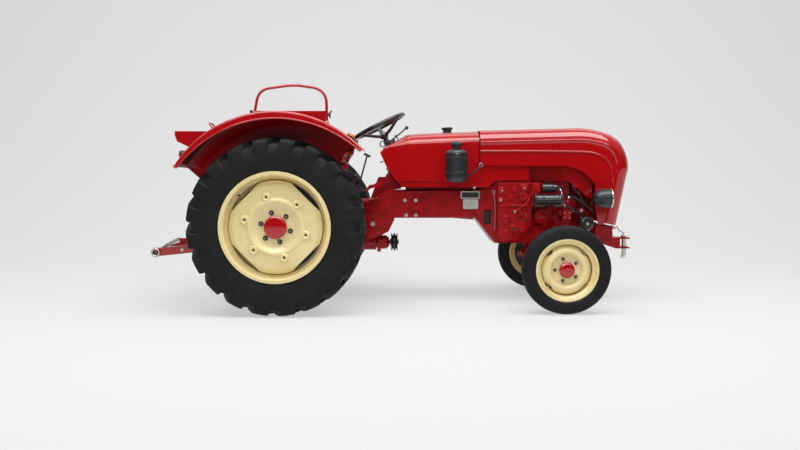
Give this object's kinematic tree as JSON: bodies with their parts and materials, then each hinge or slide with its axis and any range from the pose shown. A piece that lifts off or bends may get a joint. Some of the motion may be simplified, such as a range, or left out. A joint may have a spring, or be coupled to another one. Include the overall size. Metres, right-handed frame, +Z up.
{
  "type": "vintage farm tractor",
  "caption": "Small air-cooled vintage farm tractor in red with cream wheels, tilting bonnet, linked steering, rear three-point linkage and a mudguard seat.",
  "frame": {"origin": "on the ground, in the middle of the whole tractor's length and width", "axes": "+X forward, +Y to the tractor's left, +Z up"},
  "size_m": [3.594, 1.64, 1.5851],
  "materials": {
    "red_paint": "gloss enamel",
    "red_casting": "painted casting",
    "cream_paint": "gloss enamel",
    "black_paint": "semi-gloss enamel",
    "tyre": "matt rubber",
    "steel": "bare steel",
    "alloy": "cast",
    "black_plastic": "polished",
    "lamp": "glossy lens"
  },
  "bodies": {
    "chassis": {"air_cleaner": "black_paint", "clutch_housing": "red_casting", "controls": "steel", "cooling_duct": "red_paint", "coupling_pin": "steel", "crankcase": "red_casting", "cylinders": "alloy", "drive_tunnel": "red_casting", "driver_seat": "black_paint", "exhaust": "black_paint", "fender_lamps": "lamp", "fender_seat": "red_paint", "filler_cap": "black_paint", "footplates": "red_paint", "front_axle": "red_casting", "front_bracket": "red_casting", "injection_pump": "red_casting", "lift_housing": "red_casting", "mudguard_left": "red_paint", "mudguard_right": "red_paint", "oil_filter": "black_paint", "rear_tray": "red_paint", "seat_rail": "red_paint", "seat_spring": "red_paint", "starter": "black_paint", "steering_gear": "red_casting", "tank_cowl": "red_paint", "transaxle": "red_casting"},
    "rear_wheel_right": {"rear_tyre_right": "tyre", "rear_wheel_right": "cream_paint", "rear_hub_right": "red_paint"},
    "rear_wheel_left": {"rear_tyre_left": "tyre", "rear_wheel_left": "cream_paint", "rear_hub_left": "red_paint"},
    "front_wheel_right": {"front_tyre_right": "tyre", "front_wheel_right": "cream_paint", "front_hub_right": "red_paint"},
    "front_wheel_left": {"front_tyre_left": "tyre", "front_wheel_left": "cream_paint", "front_hub_left": "red_paint"},
    "knuckle_right": {"knuckle_right": "red_casting"},
    "knuckle_left": {"knuckle_left": "red_casting"},
    "tie_rod": {"tie_rod": "red_paint"},
    "drop_arm": {"drop_arm": "red_paint"},
    "drag_link": {"drag_link": "red_paint"},
    "steering_wheel": {"steering_wheel": "black_plastic"},
    "bonnet": {"bonnet": "red_paint", "grille": "red_paint", "head_lamps": "black_paint"},
    "lower_links": {"lower_links": "steel"},
    "lift_arms": {"lift_arms": "red_paint"},
    "lift_rods": {"lift_rods": "red_paint"},
    "belt_pulley": {"belt_pulley": "black_paint"}
  },
  "joints": [
    {"name": "rear_right_roll", "type": "hinge", "parent": "chassis", "child": "rear_wheel_right", "pos_m": [-0.823, -0.675, 0.6125], "axis": [0, 1, 0], "continuous": true},
    {"name": "rear_left_roll", "type": "hinge", "parent": "chassis", "child": "rear_wheel_left", "pos_m": [-0.823, 0.675, 0.6125], "axis": [0, 1, 0], "continuous": true},
    {"name": "right_steer", "type": "hinge", "parent": "chassis", "child": "knuckle_right", "pos_m": [1.181, -0.53, 0.31], "axis": [0, 0, 1], "range_deg": [-33, 33]},
    {"name": "left_steer", "type": "hinge", "parent": "chassis", "child": "knuckle_left", "pos_m": [1.181, 0.53, 0.31], "axis": [0, 0, 1], "range_deg": [-33.05, 33.05]},
    {"name": "front_right_roll", "type": "hinge", "parent": "knuckle_right", "child": "front_wheel_right", "pos_m": [1.181, -0.65, 0.31], "axis": [0, 1, 0], "continuous": true},
    {"name": "front_left_roll", "type": "hinge", "parent": "knuckle_left", "child": "front_wheel_left", "pos_m": [1.181, 0.65, 0.31], "axis": [0, 1, 0], "continuous": true},
    {"name": "tie_rod_pivot", "type": "hinge", "parent": "knuckle_right", "child": "tie_rod", "pos_m": [1.041, -0.53, 0.314], "axis": [0, 0, 1], "range_deg": [-33.05, 33.05]},
    {"name": "drop_arm_swing", "type": "hinge", "parent": "chassis", "child": "drop_arm", "pos_m": [0.137, 0.262, 0.83], "axis": [0, -1, 0], "range_deg": [-24.66, 24.66]},
    {"name": "drag_link_pivot", "type": "hinge", "parent": "drop_arm", "child": "drag_link", "pos_m": [0.137, 0.288, 0.66], "axis": [0, -1, 0], "range_deg": [-24.66, 24.66]},
    {"name": "steering_wheel_turn", "type": "hinge", "parent": "chassis", "child": "steering_wheel", "pos_m": [-0.098, 0, 1.271], "axis": [-0.4384, 0, 0.8988], "range_deg": [-396.05, 396.05]},
    {"name": "bonnet_tilt", "type": "hinge", "parent": "chassis", "child": "bonnet", "pos_m": [1.641, 0, 0.572], "axis": [0, 1, 0], "range_deg": [0, 50]},
    {"name": "hitch_lift", "type": "hinge", "parent": "chassis", "child": "lower_links", "pos_m": [-0.873, 0, 0.497], "axis": [0, 1, 0], "range_deg": [-10, 28]},
    {"name": "lift_arm_swing", "type": "hinge", "parent": "chassis", "child": "lift_arms", "pos_m": [-1.013, 0, 0.93], "axis": [0, 1, 0], "range_deg": [-12.55, 35.05]},
    {"name": "lift_rod_swing", "type": "hinge", "parent": "lift_arms", "child": "lift_rods", "pos_m": [-1.30644, 0, 0.86763], "axis": [0, 1, 0], "range_deg": [-36.45, 13.05]},
    {"name": "belt_pulley_turn", "type": "hinge", "parent": "chassis", "child": "belt_pulley", "pos_m": [-0.022, 0, 0.45], "axis": [1, 0, 0], "continuous": true}
  ],
  "couplings": [
    {"joint": "left_steer", "follows": "right_steer", "ratio": 1},
    {"joint": "tie_rod_pivot", "follows": "right_steer", "ratio": -1},
    {"joint": "drop_arm_swing", "follows": "right_steer", "ratio": 0.74585},
    {"joint": "drag_link_pivot", "follows": "right_steer", "ratio": -0.74585},
    {"joint": "steering_wheel_turn", "follows": "right_steer", "ratio": 12},
    {"joint": "lift_arm_swing", "follows": "hitch_lift", "ratio": 1.25},
    {"joint": "lift_rod_swing", "follows": "hitch_lift", "ratio": -1.3}
  ]
}
